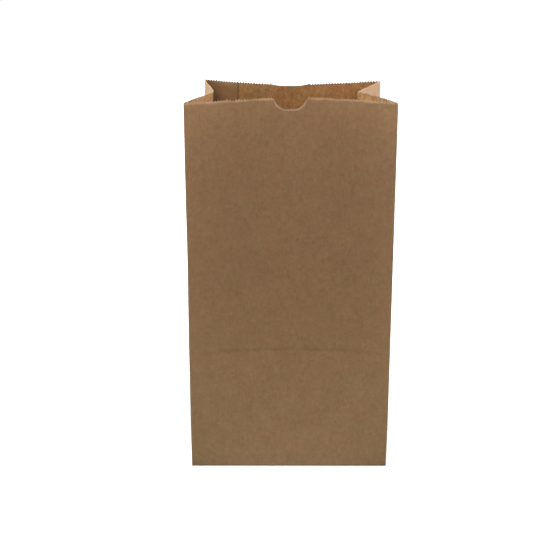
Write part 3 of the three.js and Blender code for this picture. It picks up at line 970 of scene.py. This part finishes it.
def kraft_material(name, look, fibres, colour, mottle, rim, cut_band_reach, height=None):
    """Kraft paper: fibres on a base colour, another colour at the cut edge, paler worn folds and
    painted shade.

    One after the other, the olive or reddish paper takes the painted light and shade of its height,
    the lap's colour with its painted shade, the mottling, the painted shade of the pocket, the worn
    folds, the painted shade lines and the cut band. The red part follows the mottling by its own
    share, so that light spots are less red.
    """
    material, nodes, shader = new_material(name, look.roughness, look.gloss)
    uv = nodes.add("ShaderNodeUVMap", uv_map="sheet").outputs[0]
    cut, fold, lap, pocket_shade, line = (
        nodes.add("ShaderNodeAttribute", attribute_name=key).outputs["Fac"] for key in MASKS
    )
    mottling = nodes.math("MULTIPLY_ADD", lap, look.mottle - mottle, mottle)
    inputs = {"Sheet": uv, "Mottle": mottling, "Streaks": look.streaks, "Specks": look.specks}
    shade, redness, relief = nodes.add("ShaderNodeGroup", inputs, node_tree=fibres).outputs
    base, shift = np.array(colour), look.hue_shift
    olive = base * (1 - shift, 1 + shift / 2, 1 - 2 * shift)
    paper = nodes.mix(redness, olive, base * (1 + shift, 1 - shift, 1))
    # Painted light and shade by height, on the outer face only
    if height is not None:
        paper = nodes.mix(1.0, paper, painted_height_shading(nodes, uv, height), "MULTIPLY")
    # The lap's darker colour is painted shade of the double layer
    paper = nodes.mix(lap, paper, look.lap)
    red = nodes.math("MULTIPLY_ADD", shade, look.red_share, 1 - look.red_share)
    mottled = nodes.add("ShaderNodeCombineColor", {0: red, 1: shade, 2: shade}).outputs[0]
    paper = nodes.mix(1.0, paper, mottled, "MULTIPLY")
    near_cut = nodes.math("MULTIPLY_ADD", cut, -1 / cut_band_reach, 1.0)
    ragged = nodes.math("MULTIPLY_ADD", redness, 0.5, near_cut)
    # Layers: painted shade of the pocket, pale worn folds, painted shade lines, and the band at the
    # cut edge (pale fibres with a painted highlight outside, painted shade inside)
    layers = (
        (nodes.math("MULTIPLY", pocket_shade, look.pocket_shade), 0.25 * np.array(look.inner_edge_shade)),
        (nodes.math("MULTIPLY", fold, look.wear), look.cut),
        (nodes.math("MULTIPLY", line, look.line), 0.3 * base),
        (nodes.math("MULTIPLY", ragged, 0.85, clamp=True), rim),
    )
    for share, layer in layers:
        paper = nodes.mix(share, paper, layer)
    inputs = {"Strength": look.relief, "Distance": look.relief_height, "Height": relief}
    nodes.feed(shader.inputs["Base Color"], paper)
    nodes.feed(shader.inputs["Normal"], nodes.add("ShaderNodeBump", inputs).outputs[0])
    return material


def kraft_materials(look, height):
    """The three faces of the sheet: outside, inside and the cut edge."""
    names = ("kraft_outside", "kraft_inside", "kraft_cut_edge")
    found = [bpy.data.materials.get(name) for name in names]
    if all(found):
        return found
    fibres = fibre_group()
    # Cut bands: outside pale torn fibres with a painted highlight, inside painted shade, on the
    # edge the torn fibres
    looks = (
        (look.outside, look.mottle, look.cut, OUTER_FIBRE_AND_HIGHLIGHT_BAND, height),
        (look.inside, look.inner_mottle, look.inner_edge_shade, INNER_SHADE_BAND),
        (look.cut, look.mottle, look.cut, EDGE_FRAY),
    )
    return [kraft_material(name, look, fibres, *values) for name, values in zip(names, looks)]


def seat(build):
    """Builds a piece and puts it on the bag's body, in place of its plain solid."""
    scene = bpy.context.scene
    size = scene.lunchbag_sizes
    piece = build(size, kraft_materials(scene.lunchbag_look, size.height))
    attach(piece, "root")
    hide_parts(NODE)


class LUNCHBAG_OT_walls(bpy.types.Operator):
    """Build the panels, gussets, lap and mouth of the bag"""

    bl_idname = "lunchbag.walls"
    bl_label = "Bag walls"

    def execute(self, context):
        seat(build_walls)
        return {"FINISHED"}


class LUNCHBAG_OT_base(bpy.types.Operator):
    """Build the folded flaps of the base"""

    bl_idname = "lunchbag.base"
    bl_label = "Bag base"

    def execute(self, context):
        seat(build_base)
        return {"FINISHED"}


def area_light(name, place, aim, width, height, power, colour):
    """A soft rectangular lamp that points at a place, its power in watts."""
    lamp = bpy.data.lights.new(name, "AREA")
    lamp.shape = "RECTANGLE"
    lamp.size, lamp.size_y = width, height
    lamp.energy = power
    lamp.color = colour
    way = np.array(aim, float) - np.array(place, float)
    yaw = math.atan2(way[0], way[1])
    pitch = math.atan2(way[2], math.hypot(way[0], way[1]))
    add_object(name, lamp, place, (math.pi / 2 + pitch, 0, -yaw))


def sun_light(name, strength, spread):
    """A wide soft lamp straight above, the same everywhere on the floor."""
    lamp = bpy.data.lights.new(name, "SUN")
    lamp.energy = strength
    lamp.angle = spread
    add_object(name, lamp, (0, 0, 2))


def make_world(sky, backdrop):
    """A grey sky that lights the bag, and a white backdrop that only the camera sees."""
    world = bpy.data.worlds.new("studio")
    world.use_nodes = True
    background = world.node_tree.nodes["Background"]
    nodes = Nodes(world.node_tree)
    seen = nodes.add("ShaderNodeLightPath").outputs["Is Camera Ray"]
    nodes.feed(background.inputs["Color"], (1, 1, 1))
    nodes.feed(background.inputs["Strength"], nodes.math("MULTIPLY_ADD", seen, backdrop - sky, sky))
    bpy.context.scene.world = world


def make_floor(half, colour, bounce):
    """A wide pale floor that throws only part of its light back at the bag."""
    corners = [(-half, -half, 0), (half, -half, 0), (half, half, 0), (-half, half, 0)]
    mesh = bpy.data.meshes.new("floor")
    mesh.from_pydata(corners, [], [(0, 1, 2, 3)])
    material, nodes, shader = new_material("floor_paper", 0.9, 0.1)
    seen = nodes.add("ShaderNodeLightPath").outputs["Is Camera Ray"]
    base = np.array(colour)
    nodes.feed(shader.inputs["Base Color"], nodes.mix(seen, bounce * base, base))
    mesh.materials.append(material)
    floor = add_object("floor", mesh)


def make_camera(studio):
    """The camera: turned by its yaw, then down by its pitch, then by its roll."""
    camera = bpy.data.cameras.new("camera")
    camera.sensor_width = 36
    camera.lens = studio.focal_pixels / studio.frame_pixels * camera.sensor_width
    camera.clip_start = 0.01
    turn = Matrix.Rotation(-studio.camera_yaw, 3, "Z")
    turn @= Matrix.Rotation(math.pi / 2 - studio.camera_pitch, 3, "X")
    turn @= Matrix.Rotation(studio.camera_roll, 3, "Z")
    return add_object("camera", camera, studio.camera_place, turn.to_euler())


class LUNCHBAG_OT_stage(bpy.types.Operator):
    """Build the floor, the soft lights and the camera"""

    bl_idname = "lunchbag.stage"
    bl_label = "Studio stage"

    def execute(self, context):
        scene = context.scene
        studio = scene.lunchbag_studio
        make_floor(studio.floor_reach, studio.floor, studio.bounce)
        sun_light("top_light", *SUN)
        for name, values in AREA_LIGHTS.items():
            area_light(name, *values)
        make_world(studio.sky, studio.backdrop)
        scene.view_settings.view_transform = "Standard"
        # The default prefilter wipes out the teeth, which are narrower than two pixels
        scene.cycles.denoising_prefilter = "FAST"
        scene.camera = make_camera(studio)
        return {"FINISHED"}


GROUPS = {
    "lunchbag_sizes": LunchBagSizes,
    "lunchbag_look": KraftLook,
    "lunchbag_studio": StudioLook,
}
OPERATORS = (LUNCHBAG_OT_stage, LUNCHBAG_OT_walls, LUNCHBAG_OT_base)


class LUNCHBAG_PT_panel(bpy.types.Panel):
    """Buttons and sizes of the bag"""

    bl_idname = "LUNCHBAG_PT_panel"
    bl_label = "Lunch Bag"
    bl_space_type = "VIEW_3D"
    bl_region_type = "UI"
    bl_category = "Lunch Bag"

    def draw(self, context):
        for operator in OPERATORS:
            self.layout.operator(operator.bl_idname)
        for group in GROUPS:
            settings = getattr(context.scene, group)
            box = self.layout.box()
            for key in settings.__annotations__:
                box.prop(settings, key)


CLASSES = (*GROUPS.values(), *OPERATORS, LUNCHBAG_PT_panel)


def register():
    """Adds the classes and the settings of the scene."""
    for item in CLASSES:
        bpy.utils.register_class(item)
    for name, group in GROUPS.items():
        setattr(bpy.types.Scene, name, PointerProperty(type=group))


def unregister():
    """Takes the settings and the classes away again."""
    for name in GROUPS:
        delattr(bpy.types.Scene, name)
    for item in reversed(CLASSES):
        bpy.utils.unregister_class(item)


def main():
    """Builds the stage and the bag."""
    register()
    bpy.ops.lunchbag.stage()
    bpy.ops.lunchbag.walls()
    bpy.ops.lunchbag.base()


if __name__ == "__main__":
    main()
